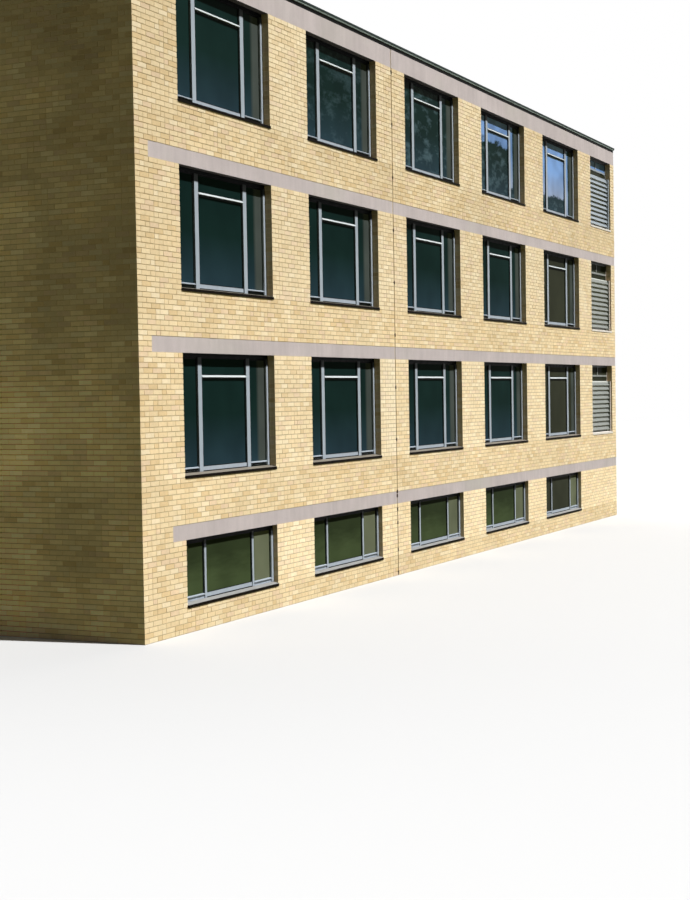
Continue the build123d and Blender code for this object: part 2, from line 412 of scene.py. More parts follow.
class Nodes:
    """A node tree, with short ways to add what the finishes need."""

    def __init__(self, tree):
        self.tree = tree
        tree.nodes.clear()

    def connect(self, made, inputs):
        """Sets a node's inputs, or links them where the value is another node's result."""
        for socket, value in inputs.items():
            if isinstance(value, bpy.types.NodeSocket):
                self.tree.links.new(value, made.inputs[socket])
            else:
                made.inputs[socket].default_value = value

    def node(self, kind, inputs=None, **settings):
        """Adds a shader node, with its settings and with its inputs set or linked."""
        made = self.tree.nodes.new("ShaderNode" + kind)
        for key, value in settings.items():
            setattr(made, key, value)
        self.connect(made, inputs or {})
        return made

    def math(self, operation, *values):
        """The result of a sum on numbers or on other nodes' results."""
        return self.node("Math", dict(enumerate(values)), operation=operation).outputs[0]

    def part_of(self, vector, letter):
        """One coordinate of a vector."""
        return self.node("SeparateXYZ", {0: vector}).outputs[letter]

    def spread(self, value, low, high, new_low=0.0, new_high=1.0):
        """One range of values spread over another, held at its ends."""
        inputs = {"Value": value, "From Min": low, "From Max": high, "To Min": new_low, "To Max": new_high}
        return self.node("MapRange", inputs, clamp=True).outputs["Result"]

    def blend(self, share, first, second, kind="MIX"):
        """Two colours blended, from all first at a share of 0 to all second at 1."""
        inputs = {0: share, 6: first, 7: second}
        return self.node("Mix", inputs, data_type="RGBA", blend_type=kind).outputs[2]

    def shade(self, colour, amount):
        """The colour made lighter or darker by a factor, which may vary over the surface."""
        grey = self.node("CombineColor", {0: amount, 1: amount, 2: amount})
        return self.blend(1.0, colour, grey.outputs[0], "MULTIPLY")

    def vary(self, colour, pattern, low, high):
        """The colour shaded by a noise pattern, between a low and a high factor."""
        return self.shade(colour, self.spread(pattern, *NOISE_RANGE, low, high))

    def seen_directly(self):
        """1 for what is looked at or mirrored, 0 for the light that it sends out."""
        paths = self.node("LightPath").outputs
        seen = self.math("MAXIMUM", paths["Is Camera Ray"], paths["Is Glossy Ray"])
        return self.math("MAXIMUM", seen, paths["Is Transmission Ray"])


class Finish(Nodes):
    """A material in the making, with its shader and the point on the building in metres."""

    def __init__(self, name):
        self.material = bpy.data.materials.new(name)
        self.material.use_nodes = True
        super().__init__(self.material.node_tree)
        self.shader = self.node("BsdfPrincipled")
        self.output = self.node("OutputMaterial", {"Surface": self.shader.outputs["BSDF"]})
        self.point = self.node("TexCoord").outputs["Object"]

    def place(self, letter):
        """One coordinate of the point on the building."""
        return self.part_of(self.point, letter)

    def facing_up(self):
        """1 where the surface faces straight up, -1 where it faces down."""
        return self.part_of(self.node("NewGeometry").outputs["True Normal"], "Z")

    def grain(self, scale, detail=4.0, roughness=0.6, stretch=None):
        """A noise pattern, with the point's coordinates multiplied first if asked."""
        vector = self.point
        if stretch:
            vector = self.node("VectorMath", {0: vector, 1: stretch}, operation="MULTIPLY").outputs[0]
        inputs = {"Vector": vector, "Scale": scale, "Detail": detail, "Roughness": roughness}
        return self.node("TexNoise", inputs).outputs["Fac"]

    def coat(self, colour, roughness, gloss=0.5):
        """Sets the shader's own colour, roughness and specular level."""
        inputs = {"Base Color": colour, "Roughness": roughness, "Specular IOR Level": gloss}
        self.connect(self.shader, inputs)

    def bump(self, height, distance, strength=1.0):
        inputs = {"Height": height, "Distance": distance, "Strength": strength}
        self.connect(self.shader, {"Normal": self.node("Bump", inputs).outputs["Normal"]})


# Materials

def brick_material(bricks):
    """Facing bricks: each has its own tone, with a sandy grain, some weather marks, painted shade in the
    jambs and painted shade and light on the gables.
    """
    m = Finish("facing_brick")
    tone, weather, bleach = (m.node("Attribute", attribute_name=name).outputs["Fac"]
                             for name in BRICK_LOOKS)
    ramp = m.node("ValToRGB", {"Fac": tone})
    ramp.color_ramp.interpolation = "CONSTANT"
    stops = [(0.0, bricks.cream), (0.34, bricks.straw), (0.66, bricks.ochre), (0.78, bricks.rose),
             (0.9, bricks.pale)]
    elements = ramp.color_ramp.elements
    while len(elements) < len(stops):
        elements.new(0.5)
    for element, (position, colour) in zip(elements, stops):
        element.position = position
        element.color = solid(colour)
    fine = m.grain(90.0, 3.0)
    clouds = m.grain(9.0, 2.0)
    colour = m.blend(bleach, ramp.outputs["Color"], solid(bricks.bleached))
    colour = m.vary(colour, fine, 0.93, 1.06)
    colour = m.vary(colour, clouds, 0.96, 1.04)
    # The weather factor also carries the painted shade of the jambs and the painted shade and light of the
    # gables
    m.coat(m.shade(colour, weather), 0.88, 0.25)
    m.bump(fine, 0.0015)
    return m.material


def wall_material(bricks):
    """The walls' own surfaces: mortar outside, plaster towards the rooms."""
    m = Finish("mortar_and_plaster")
    from_middle = m.node("VectorMath", {0: m.point}, operation="ABSOLUTE").outputs[0]
    tolerance = 0.002
    inside_x = m.math("LESS_THAN", m.part_of(from_middle, "X"), EAST - WALL + tolerance)
    inside_y = m.math("LESS_THAN", m.part_of(from_middle, "Y"), REAR - WALL + tolerance)
    indoors = m.math("MULTIPLY", inside_x, inside_y)
    sand = m.grain(140.0, 3.0)
    patches = m.grain(1.3, 3.0)
    mortar = m.vary(solid(bricks.mortar), sand, 0.85, 1.1)
    mortar = m.vary(mortar, patches, 0.88, 1.06)
    # The beds lie in shade and are darker than the upright joints
    bed = bricks.course - bricks.height
    raised = m.math("ADD", m.place("Z"), bed / 2)
    level = m.math("FLOORED_MODULO", raised, bricks.course)
    in_bed = m.math("LESS_THAN", level, bed)
    mortar = m.shade(mortar, m.spread(in_bed, 0.0, 1.0, 1.1, 0.85))
    plaster = m.vary(PLASTER, patches, 0.95, 1.02)
    m.coat(m.blend(indoors, mortar, plaster), 0.93)
    m.bump(sand, 0.002)
    return m.material


def concrete_material(name, colour, streaks, underside_shade):
    """Cast concrete: fine pores, cloudy tone, rain streaks, and undersides darkened as painted shade."""
    m = Finish(name)
    pores = m.grain(60.0, 5.0, 0.7)
    clouds = m.grain(1.1, 4.0)
    runs = m.grain(1.0, 3.0, stretch=(7.0, 7.0, 0.8))
    stains = m.grain(0.45, 2.0)
    tone = m.vary(solid(colour), clouds, 0.9, 1.07)
    tone = m.vary(tone, pores, 0.95, 1.04)
    tone = m.shade(tone, m.spread(runs, 0.35, 0.75, 1.0, 1.0 - streaks))
    tone = m.blend(m.spread(stains, 0.55, 0.75, 0.0, 0.3), tone, GREEN_STAIN)
    # Painted shade: faces turned downwards are darkened by the given factor
    tone = m.shade(tone, m.spread(m.facing_up(), -0.9, -0.5, underside_shade, 1.0))
    m.coat(tone, 0.85, 0.2)
    m.bump(pores, 0.002)
    return m.material


def dimmed_under_heads(m, tone):
    """The colour made much darker in the top of the openings, where the head shades it."""
    above = m.math("SUBTRACT", m.place("Z"), head_level("basement"))
    storey = head_level("ground") - head_level("basement")
    level = m.math("FLOORED_MODULO", above, storey)
    return m.shade(tone, m.spread(level, storey - HEAD_SHADE_START, storey - HEAD_SHADE_FULL, 1.0, 0.1))


def louvre_tone(m, slats, rails):
    """Slats between paler rails lightened as painted light, painted lighter in the depth that the slat above
    shades, and given a painted sky reflection on the top storey.
    """
    middle = (LOUVRE_LOW[0] + LOUVRE_HIGH[0]) / 2
    half = (LOUVRE_HIGH[0] - LOUVRE_LOW[0]) / 2 - LOUVRE_RAIL
    between_rails = m.math("COMPARE", m.place("X"), middle, half)
    # Painted light: the rails are paler than their own colour, lifting their shaded side
    tone = m.blend(between_rails, rails, slats)
    from_middle = m.math("ABSOLUTE", m.place("Y"))
    # Painted light: the slats are lightened in the depth where the slat above shades them
    shaded_depth = m.math("COMPARE", from_middle, REAR - LOUVRE_SHADED_DEPTH, LOUVRE_SHADED_HALF)
    tone = m.shade(tone, m.spread(shaded_depth, 0.0, 1.0, 1.0, 2.2))
    # Painted sky reflection: the top storey's louvres turn bluish
    below_sill = sill_level("second") - 0.2
    upward = m.spread(m.place("Z"), below_sill, below_sill + 0.1)
    return m.blend(upward, tone, SKY_REFLECTION_ON_LOUVRE)


def metal_material(name, colour, roughness, gloss=0.3, wear=0.06, rails=None):
    """Coated or anodised metal with slight streaks, uneven gloss and painted shade under the heads; as
    louvres, with painted light and a painted sky reflection, if rails have a colour.
    """
    m = Finish(name)
    streaks = m.grain(1.0, 3.0, stretch=(30.0, 30.0, 3.0))
    dust = m.grain(4.0, 4.0)
    tone = solid(colour)
    if rails:
        tone = louvre_tone(m, tone, solid(rails))
    tone = dimmed_under_heads(m, tone)
    tone = m.vary(tone, streaks, 1.0 - wear, 1.0 + wear)
    tone = m.shade(tone, m.spread(dust, 0.4, 0.7, 1.0, 1.0 - wear))
    uneven = m.spread(dust, *NOISE_RANGE, roughness - 0.06, roughness + 0.1)
    m.coat(tone, uneven, gloss)
    m.bump(streaks, 0.0004)
    return m.material


def sill_material(finish):
    """Metal sills: a grey-olive top and a dark front lip painted near-black as the shade under the sill's
    edge, lighter under the louvres.
    """
    m = Finish("sill_sheet")
    top = m.math("GREATER_THAN", m.facing_up(), 0.5)
    louvred = m.math("GREATER_THAN", m.place("X"), LOUVRE_LOW[0] - 0.05)
    dust = m.grain(6.0, 4.0)
    low = m.math("LESS_THAN", m.place("Z"), sill_level("basement") + 0.2)
    sheet = m.blend(low, solid(finish.sill), BASEMENT_SILL)
    # The front lip and every face not turned up are painted near-black, as the shade under the sill's edge
    tone = m.blend(top, solid(finish.sill_lip_shade), sheet)
    tone = m.blend(louvred, tone, LOUVRE_SILL)
    m.coat(m.vary(tone, dust, 0.85, 1.1), 0.5, 0.02)
    m.bump(dust, 0.001)
    return m.material


def top_storey_reflections(m, tone, finish, fall, from_start, in_bay, clouds):
    """Painted reflections: dappled, and from the third window on more and more sky blue over them."""
    middle = WINDOW_WIDTH / 2
    window = m.math("FLOOR", m.math("DIVIDE", from_start, BAY))
    reflection_dapple = m.grain(2.3, 5.0, 0.65, (1.0, 1.0, 2.2))
    reflection_mottle = m.math("MULTIPLY", m.spread(reflection_dapple, 0.5, 0.68), m.spread(window, 0.0, 2.0, 0.0, 0.5))
    tone = m.blend(reflection_mottle, tone, DAPPLED_REFLECTION)
    higher = m.math("MULTIPLY_ADD", window, 0.41, fall)
    blue = m.math("MULTIPLY_ADD", reflection_dapple, 0.3, higher)
    sky_reflection_tone = m.shade(solid(finish.glass_sky_reflection), m.spread(clouds, 0.35, 0.65, 0.8, 1.2))
    sky_reflection_tone = m.blend(m.spread(fall, 0.25, 0.6, 0.75, 0.0), sky_reflection_tone, PALE_SKY_REFLECTION)
    beside_mullion = m.spread(in_bay, middle + 0.86, middle + 0.9)
    far_windows = m.spread(window, 2.0, 3.0, 0.0, 0.5)
    blue = m.math("MULTIPLY_ADD", beside_mullion, far_windows, blue)
    left_of_light = m.math("LESS_THAN", in_bay, middle + 1.08)
    share = m.math("MULTIPLY", m.spread(blue, 2.03, 2.07), left_of_light)
    return m.blend(share, tone, sky_reflection_tone)


def glass_material(storey, finish):
    """Dark panes of one storey with painted reflections: bluer at the foot, lighter along one side and
    towards the east, and pale behind the louvres as painted light.
    """
    m = Finish(f"dark_glass_{storey}")
    along = m.place("X")
    height = m.place("Z")
    fall = m.spread(height, sill_level(storey), head_level(storey))
    waves = m.grain(1.6, 1.0)
    clouds = m.grain(0.9, 2.0)
    basement = storey == "basement"
    from_start = m.math("SUBTRACT", along, FRAME_FIRST[0])
    in_bay = m.math("FLOORED_MODULO", from_start, BAY)
    if basement:
        streaks = m.grain(1.6, 3.0, stretch=(1.0, 1.0, 5.0))
        streaked = m.math("MULTIPLY_ADD", streaks, 0.5, fall)
        tone = m.shade(solid(finish.basement_glass), m.spread(streaked, 0.55, 0.95, 1.15, 0.6))
        side_reflection = BASEMENT_SIDE_REFLECTION
    else:
        # Painted reflection: the panes turn bluer towards the foot
        tone = m.blend(m.spread(fall, 0.05, 0.5), solid(finish.glass_foot_reflection), solid(finish.glass))
        side_reflection = solid(finish.glass_side_reflection)
    if storey == "second":
        tone = top_storey_reflections(m, tone, finish, fall, from_start, in_bay, clouds)
    else:
        # Painted reflection: the easternmost window is blended to an olive tone
        last_start = window_starts()[-1]
        tone = m.blend(m.spread(along, last_start - 0.2, last_start), tone, solid(finish.glass_last_reflection))
    # Painted reflection of the jamb: a lighter strip along the eastern side of each window
    edge = WINDOW_WIDTH / 2 + (0.8 if basement else 1.1)
    tone = m.blend(m.spread(in_bay, edge + 0.03, edge + 0.13), tone, side_reflection)
    tone = m.vary(tone, clouds, 0.82, 1.2)
    if not basement:
        transom = head_level(storey) - LOUVRE_TRANSOM_DROP
        panel_top = head_level(storey) - LOUVRE_PANEL_DROP
        # Over the louvre's transom the panes take the painted sky reflection on the top storey and the
        # easternmost painted reflection below it
        top_light = finish.glass_sky_reflection if storey == "second" else finish.glass_last_reflection
        over_transom = m.spread(height, transom, transom + 0.01)
        over_panel = m.spread(height, panel_top, panel_top + 0.01)
        screened = m.blend(over_transom, solid(finish.glass_last_reflection), solid(top_light))
        # Painted light: the pane behind the slats is near white, lifting the shade in their gaps
        screened = m.blend(over_panel, BEHIND_LOUVRE_PAINTED_LIGHT, screened)
        louvred = m.spread(along, LOUVRE_LOW[0] - 0.1, LOUVRE_LOW[0])
        tone = m.blend(louvred, tone, screened)
    m.coat(tone, 0.03, GLOSS_OF_GLASS[storey])
    m.bump(waves, 0.004, 0.3)
    return m.material


def edge_material(finish):
    """The roof edge: packing painted near-black as the shade in the gap under the strip and, above it, a
    light metal strip.
    """
    m = Finish("edge_strip")
    level = EDGE_TOP - EDGE_STRIP
    strip = m.spread(m.place("Z"), level - 0.003, level)
    dust = m.grain(5.0, 4.0)
    # Painted shade: the packing below the strip is near-black
    tone = m.blend(strip, EDGE_PACKING_SHADE, solid(finish.edge_strip))
    m.coat(m.vary(tone, dust, 0.88, 1.1), 0.5, 0.03)
    m.bump(dust, 0.001)
    return m.material


def felt_material(finish):
    """Mineral felt: a coarse grit with bleached and damp patches."""
    m = Finish("roof_felt")
    grit = m.grain(220.0, 2.0)
    patches = m.grain(0.35, 5.0)
    tone = m.vary(solid(finish.roof_felt), grit, 0.75, 1.25)
    m.coat(m.vary(tone, patches, 0.75, 1.15), 0.9)
    m.bump(grit, 0.002)
    return m.material


def seal_material(finish):
    """The movement joint's filler with lengthwise dirt, painted lighter than its own colour to lift the shade
    in its recess.
    """
    m = Finish("joint_filler")
    dirt = m.grain(1.0, 4.0, stretch=(40.0, 40.0, 2.5))
    # The filler is painted lighter than its own colour to lift the shade in its recess
    m.coat(m.vary(solid(finish.seal_lightened), dirt, 0.6, 1.1), 0.8)
    m.bump(dirt, 0.002)
    return m.material


def paint_node(name, material):
    """Gives a CAD node its finish."""
    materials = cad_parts[name].data.materials
    materials.clear()
    materials.append(material)


# Brick laying

def facing_box(face, start, end, near, far, bottom, top):
    """A box on one face: start to end along it, near and far measured behind the wall's surface."""
    if face == "front":
        return (start, FRONT + near, bottom, end, FRONT + far, top)
    if face == "rear":
        return (start, REAR - far, bottom, end, REAR - near, top)
    if face == "west":
        return (WEST + near, start, bottom, WEST + far, end, top)
    return (EAST - far, start, bottom, EAST - near, end, top)


# The side of a box, by its place in BOX_FACES, that lies against the wall
HIDDEN_SIDE = {"front": 3, "rear": 2, "west": 1, "east": 0}


def level_of(height):
    """The band or window row that the middle of a course meets."""
    for storey in STOREYS:
        low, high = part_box(BAND_OVER[storey])
        if low[2] < height < high[2]:
            return "band", storey
        if sill_level(storey) < height < head_level(storey):
            return "windows", storey
    return "wall", None


def long_face_spans(height):
    """Where bricks show along a long face at this height, with the kind of each end."""
    kind, storey = level_of(height)
    if kind == "band":
        band_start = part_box(BAND_OVER[storey])[0][0]
        return [(WEST, band_start, "corner", "butt")]
    openings = []
    if kind == "windows":
        openings = [(start, start + WINDOW_WIDTH) for start in window_starts()]
        if storey != "basement":
            openings.append((LOUVRE_LOW[0], LOUVRE_HIGH[0]))
    spans = []
    edge, edge_kind = WEST, "corner"
    for left, right in openings + [(EAST, None)]:
        if edge < JOINT_LOW[0] < left:
            spans.append((edge, JOINT_LOW[0], edge_kind, "butt"))
            edge, edge_kind = JOINT_HIGH[0], "butt"
        spans.append((edge, left, edge_kind, "jamb" if right else "corner"))
        edge, edge_kind = right, "jamb"
    return spans


def end_face_span(face, height):
    """Where bricks show on a gable at this height."""
    kind, _ = level_of(height)
    if face == "east" and kind == "band":
        return (FRONT + WALL, REAR - WALL, "butt", "butt")
    return (FRONT, REAR, "corner", "corner")


def lay_course(span, number, turned, joints_below, rng, bricks):
    """Ends of the bricks of one course in a wild bond, broken over the joints below."""
    start, end, _, _ = span
    units = max(2, round((end - start + bricks.joint) / (bricks.header + bricks.joint)))
    unit = (end - start + bricks.joint) / units
    first = 2 if (number + turned) % 2 else 1
    last = 3 - first
    sizes = [first]
    while sum(sizes) < units - last:
        left = units - last - sum(sizes)
        size = 2 if rng.random() < bricks.stretcher_share else 1
        joint = start + (sum(sizes) + size) * unit
        if any(abs(joint - below) < TOO_CLOSE * unit for below in joints_below):
            size = 3 - size
        sizes.append(min(size, left))
    sizes.append(min(last, units - sum(sizes)))
    laid = []
    at = start
    for size in sizes:
        if size > 0:
            laid.append((at, at + size * unit - bricks.joint, size))
            at += size * unit
    return laid


def corner_seed(face, coordinate, number):
    """The same for both faces of a corner brick."""
    if face in FACES:
        return f"{face} {'west' if coordinate < 0 else 'east'} {number}"
    return f"{'front' if coordinate < 0 else 'rear'} {face} {number}"


def smooth(value, low, high):
    """From 0 at one end to 1 at the other."""
    share = min(1.0, max(0.0, (value - low) / (high - low)))
    return share * share * (3 - 2 * share)


def weathering_and_painted_light(x, y, z, part):
    """How much lighter or darker a brick is, with painted shade and light on the gables, and how far it is
    bleached.
    """
    here = Vector((x, y, z))
    broad = noise.noise(here * 0.45)
    close = noise.noise(here * 1.9)
    if part == "gable":
        # Painted shade and light: the gable is darker overall and towards the top, lighter low down, with a
        # lit patch in its middle
        level = GABLE_SHADE
        for change, low, high in GABLE_LIGHT_CHANGES:
            level += change * smooth(z, low, high)
        lit_patch = smooth(abs(y) + 0.4 * close, *LIT_PATCH_EDGE) * smooth(z + 0.6 * broad, *LIT_PATCH_TOP)
        lit_patch *= 1 - 0.5 * smooth(z, *LIT_PATCH_FADE)
        return level * (1.0 + LIT_PATCH_TONE * lit_patch) * (1.0 + 0.3 * broad + 0.26 * close), 0.0
    if part == "spandrel":
        fall = SPANDREL_FALL * max(0.0, z - SPANDREL_FALL_FROM)
        return SPANDREL_TONE - fall + 0.08 * broad + 0.07 * close, 0.0
    bleach = BLEACH + 0.12 * broad
    from_joint = (JOINT_LOW[0] - x) / BLEACH_REACH
    if 0 < from_joint < 1 and sill_level("ground") - BLEACH_UNDER_SILL < z < head_level("ground"):
        bleach += BLEACH_BY_JOINT * (1 - from_joint)
    tone = PIER_TONE - PIER_FALL * min(z, PIER_FALL_TO)
    return tone + 0.05 * broad + 0.04 * close, max(0.0, bleach)


def jamb_depths(size, depth, bricks):
    """Where the bricks of a jamb start and end behind the face: one brick, or two if one is short."""
    cut = bricks.header if size == 2 else depth
    depths = [(0.0, min(cut, depth))]
    if cut + bricks.joint < depth:
        depths.append((cut + bricks.joint, depth))
    return depths


def brick_list(face, bricks):
    """Every brick on one face and on its openings' jambs: box, hidden side, and tone, weather and bleach."""
    rng = random.Random(f"{face} {bricks.seed}")
    found = []
    long_face = face in FACES
    turned = 0 if long_face else 1
    spread_of_tones = LONG_FACE_SPREAD if long_face else GABLE_SPREAD
    bed = bricks.course - bricks.height
    joints_below = []
    for number in range(math.ceil(EAVES / bricks.course - 0.01)):
        bottom = number * bricks.course + bed / 2
        top = min((number + 1) * bricks.course, EAVES) - bed / 2
        height = (bottom + top) / 2
        spans = long_face_spans(height) if long_face else [end_face_span(face, height)]
        kind, storey = level_of(height)
        joints = []
        for order_span, span in enumerate(spans):
            part = "gable"
            if long_face:
                part = "pier" if kind == "windows" and order_span > 0 else "spandrel"
            laid = lay_course(span, number, turned, joints_below, rng, bricks)
            for order, (left, right, size) in enumerate(laid):
                first, last = order == 0, order == len(laid) - 1
                joints.append(right)
                relief = bricks.relief * rng.uniform(0.75, 1.15)
                tone = rng.random()
                end_kind = span[2] if first else span[3] if last else None
                if end_kind == "corner":
                    corner = random.Random(corner_seed(face, left if first else right, number))
                    tone = corner.random()
                    relief = bricks.relief
                low, high = left, right
                if long_face and end_kind in ("corner", "jamb"):
                    low -= relief if first else 0.0
                    high += relief if last else 0.0
                box = facing_box(face, low, high, -relief, 0.0, bottom, top)
                weather, bleach = weathering_and_painted_light(*box[:3], part)
                weather *= rng.uniform(1 - spread_of_tones, 1 + spread_of_tones)
                found.append((box, HIDDEN_SIDE[face], (tone, weather, bleach)))
                if end_kind == "jamb":
                    low, high = (left - relief, left) if first else (right, right + relief)
                    side = 1 if first else 0
                    for start, end in jamb_depths(size, recess(storey), bricks):
                        box = facing_box(face, low, high, start, end, bottom, top)
                        jamb_tone = rng.random() if start else tone
                        # Painted shade: jamb bricks take a darkened weather factor
                        found.append((box, side, (jamb_tone, JAMB_SHADE * weather, 0.0)))
        joints_below = joints
    return found


class SCHOOL_OT_brickwork(Operator):
    """Lay the facing bricks on all four faces and give the walls behind them their mortar"""

    bl_idname = "school.brickwork"
    bl_label = "Brickwork"

    def execute(self, context):
        bricks = context.scene.school_brickwork
        facing = brick_material(bricks)
        for face in FACES + ["west", "east"]:
            boxes, hidden, looks = zip(*brick_list(face, bricks))
            mesh, owners = mesh_from_boxes(f"{face}_bricks", boxes, hidden)
            for entry, name in enumerate(BRICK_LOOKS):
                attribute = mesh.attributes.new(name, "FLOAT", "FACE")
                attribute.data.foreach_set("value", [looks[owner][entry] for owner in owners])
            finish_object(f"{face}_bricks", mesh, facing)
        mortar = wall_material(bricks)
        paint_node("west_wall", mortar)
        paint_node("east_wall", mortar)
        for face in FACES:
            for storey in STOREYS:
                paint_node(f"{face}_wall_{storey}", mortar)
        return {"FINISHED"}


class SCHOOL_OT_concrete(Operator):
    """Finish the concrete bands and floors"""

    bl_idname = "school.concrete"
    bl_label = "Concrete"

    def execute(self, context):
        finish = context.scene.school_finish
        band = concrete_material("band_concrete", finish.concrete, 0.1, 0.15)
        inside = concrete_material("floor_concrete", FLOOR_CONCRETE, 0.02, 0.9)
        for name in BANDS:
            paint_node(name, band)
        for name in ("basement_floor", "ground_floor", "first_floor", "second_floor", "roof_slab"):
            paint_node(name, inside)
        return {"FINISHED"}


def dress_side_light(face, left, right, near, sill, top, rails, bars, seals_and_shade):
    """The sash of one of the two narrow lights, with its rails and its drip."""
    glass = near + GLASS_INSET
    sash = near + SASH_BACK
    rail_foot = sill + SIDE_RAIL
    rail = rail_foot + SASH_RAIL
    drip = rail + DRIP_HEIGHT
    rails.bar(face, left, right, near - SIDE_RAIL_PROUD, near + SEAT, sill, rail_foot)
    rails.bar(face, left, right, near + SASH_RAIL_BACK, glass, rail_foot, rail)
    seals_and_shade.bar(face, left, left + SASH_SIDE, sash, glass, rail, top)
    seals_and_shade.bar(face, right - SASH_SIDE, right, sash, glass, rail, top)
    seals_and_shade.bar(face, left + SASH_SIDE, right - SASH_SIDE, sash, glass, top - SASH_HEAD, top)
    bars.prism(face, left, right, [(near - DRIP_FRONT, rail), (glass, rail), (glass, drip),
                                   (near + DRIP_TOP_BACK, drip),
                                   (near - DRIP_FRONT, rail + DRIP_FRONT_HEIGHT)])


def dress_window(face, storey, start, bars, transoms, seals_and_shade):
    """Cover bars, weather bar, sashes and sealing strips of one window, with dark strips painted as shade
    beside the mullion covers, over the head rail, under the weather bar and along the foot.
    """
    end = start + WINDOW_WIDTH
    middle = start + WINDOW_WIDTH / 2
    mullions = (middle - MULLION_OFFSET, middle + MULLION_OFFSET)
    basement = storey == "basement"
    half = (BASEMENT_MULLION if basement else MULLION) / 2
    near = recess(storey)
    seat = near + SEAT
    glass = near + GLASS_INSET
    sill = sill_level(storey) + SILL_BACK
    foot = sill + CLEAR_OF_SILL
    head = head_level(storey)
    top = head - HEAD_RAIL
    for centre in mullions:
        # Painted shade: a dark strip beside each mullion cover stands for its shaded flank
        cover = centre - half + (BASEMENT_SHADE_STRIP if basement else SHADE_STRIP)
        seals_and_shade.bar(face, centre - half, cover, near - SHADE_STRIP_PROUD, seat, foot, top)
        bars.bar(face, cover, centre + half, near - COVER_PROUD, seat, foot, top)
    for edge, inward in ((start, 1), (end, -1)):
        left, right = sorted(edge + width * inward for width in STILE_COVER_EDGES)
        bars.bar(face, left, right, near - STILE_COVER_PROUD, seat, foot, top)
    # Painted shade: a dark strip over the head rail, where the head shades the frame
    seals_and_shade.bar(face, start, end, near - HEAD_SHADE_STRIP_PROUD, seat, top, head)
    rails = bars if basement else seals_and_shade
    for left, right in ((start + STILE, mullions[0] - half), (mullions[1] + half, end - STILE)):
        dress_side_light(face, left, right, near, sill, top, rails, bars, seals_and_shade)
    left, right = mullions[0] + half, mullions[1] - half
    panes = [(sill + BOTTOM_RAIL, top)]
    if not basement:
        transom = head - TRANSOM_DROP
        low, high = transom - TRANSOM_HEIGHT / 2, transom + TRANSOM_HEIGHT / 2
        panes = [(sill + BOTTOM_RAIL, low), (high, top)]
        bar_foot, crest = low + WEATHER_BAR_FOOT, high - WEATHER_BAR_CREST
        transoms.prism(face, left, right, [(near - WEATHER_BAR_PROUD, bar_foot), (seat, bar_foot),
                                           (seat, crest), (near - WEATHER_BAR_TOP_PROUD, crest)])
        # Painted shade: a dark strip under the weather bar
        seals_and_shade.bar(face, left, right, near - SHADE_STRIP_PROUD, seat, low, bar_foot)
    # Painted shade: a dark strip along the foot of the middle light
    seals_and_shade.bar(face, left, right, near - FOOT_SHADE_PROUD, seat, sill, sill + SEAL)
    for low, high in panes:
        seals_and_shade.bar(face, left, left + SEAL, seat, glass, low, high)
        seals_and_shade.bar(face, right - SEAL, right, seat, glass, low, high)
        seals_and_shade.bar(face, left + SEAL, right - SEAL, seat, glass, low, low + SEAL_FOOT)
        seals_and_shade.bar(face, left + SEAL, right - SEAL, seat, glass, high - SEAL_HEAD, high)


class SCHOOL_OT_windows(Operator):
    """Dress the windows with cover strips, sashes, sealing strips and dark strips of painted shade, and
    finish frames and panes
    """

    bl_idname = "school.windows"
    bl_label = "Windows"

    def execute(self, context):
        finish = context.scene.school_finish
        aluminium = metal_material("window_aluminium", finish.aluminium, 0.42, 0.04)
        # The dark sash finish also covers the strips painted as shade
        sash = metal_material("dark_sash_and_shade", finish.sash, 0.5, 0.03)
        # The weather bars are paler than the aluminium, as a painted highlight
        weather_bar_highlight = metal_material("weather_bar_highlight", finish.transom, 0.4, 0.1, 0.04)
        for face in FACES:
            transoms = Joinery()
            for storey in STOREYS:
                bars, seals_and_shade = Joinery(), Joinery()
                for start in window_starts():
                    dress_window(face, storey, start, bars, transoms, seals_and_shade)
                bars.piece(f"{face}_bars_{storey}", aluminium, "window_frame")
                seals_and_shade.piece(f"{face}_sashes_{storey}", sash, "window_frame", 0.001)
                paint_node(f"{face}_frames_{storey}", aluminium)
            transoms.piece(f"{face}_weather_bars", weather_bar_highlight, "window_frame")
        for storey in STOREYS:
            glass = glass_material(storey, finish)
            for face in FACES:
                paint_node(f"{face}_glass_{storey}", glass)
        return {"FINISHED"}


class SCHOOL_OT_sills_and_louvres(Operator):
    """Finish the sills and the louvres of the narrow bay"""

    bl_idname = "school.sills_and_louvres"
    bl_label = "Sills and Louvres"

    def execute(self, context):
        sheet = sill_material(context.scene.school_finish)
        slats = metal_material("louvre_aluminium", LOUVRE_SLATS, 0.45, 0.15, 0.08, LOUVRE_RAILS_LIGHTENED)
        for face in FACES:
            paint_node(f"{face}_sills", sheet)
            paint_node(f"{face}_louvres", slats)
        return {"FINISHED"}


class SCHOOL_OT_movement_joint(Operator):
    """Finish the movement joint and add its fixings"""

    bl_idname = "school.movement_joint"
    bl_label = "Movement Joint"

    def execute(self, context):
        filler = seal_material(context.scene.school_finish)
        rust = metal_material("joint_fixing", RUST, 0.8, 0.1)
        middle = (JOINT_LOW[0] + JOINT_HIGH[0]) / 2
        spacing = FIXING_COURSES * context.scene.school_brickwork.course
        heights = FIXING_HEIGHTS + [FIXING_START + spacing * n for n in range(FIXING_COUNT)]
        half_width, half_height, proud, seat = 0.024, 0.035, 0.012, 0.014
        for face in FACES:
            paint_node(f"{face}_joint_strip", filler)
            fixings = Joinery()
            for height in heights:
                fixings.bar(face, middle - half_width, middle + half_width, -proud, seat,
                            height - half_height, height + half_height)
            fixings.piece(f"{face}_joint_fixings", rust, "joint_seal", 0.004)
        return {"FINISHED"}


